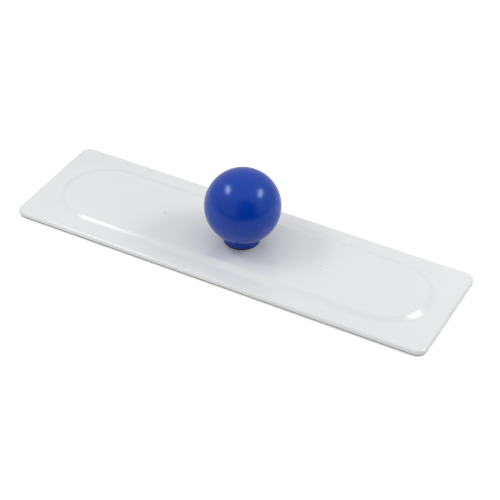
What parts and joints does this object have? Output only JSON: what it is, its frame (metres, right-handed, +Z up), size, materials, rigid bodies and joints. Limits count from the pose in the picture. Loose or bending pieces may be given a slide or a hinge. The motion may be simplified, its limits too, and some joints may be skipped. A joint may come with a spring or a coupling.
{
  "type": "hand float",
  "caption": "Long flat hand float for smoothing a surface: a white moulded plate with a low raised centre, a flat sole, and a round ball knob on a short collar screwed on in the middle.",
  "frame": {"origin": "centre of the sole's flat working face, which lies on the work", "axes": "+X along the plate's length, +Y across its width, +Z up from the working face, along the knob's bolt"},
  "size_m": [0.33, 0.1, 0.0653],
  "materials": {
    "white_plastic": "satin moulded",
    "sole_plastic": "satin sheet",
    "blue_plastic": "polished",
    "dark_nylon": "moulded",
    "zinc_steel": "zinc plated",
    "spring_steel": "oiled",
    "brass": "turned"
  },
  "bodies": {
    "board": {"float_plate": "white_plastic", "sole_sheet": "sole_plastic", "knob_bolt": "zinc_steel", "clamp_washer": "zinc_steel", "lock_washer": "spring_steel", "clamp_nut": "zinc_steel"},
    "slip_ring": {"slip_washer": "dark_nylon"},
    "knob": {"knob_ball": "blue_plastic", "knob_insert": "brass"}
  },
  "joints": [
    {"name": "knob_rise", "type": "slide", "parent": "board", "child": "slip_ring", "axis": [0, 0, 1], "range_m": [0, 0.01351]},
    {"name": "knob_turn", "type": "hinge", "parent": "slip_ring", "child": "knob", "pos_m": [0, 0, 0.0373], "axis": [0, 0, 1], "range_deg": [0, 3240]}
  ],
  "couplings": [
    {"joint": "knob_rise", "follows": "knob_turn", "m_per_rad": 0.00023873}
  ]
}
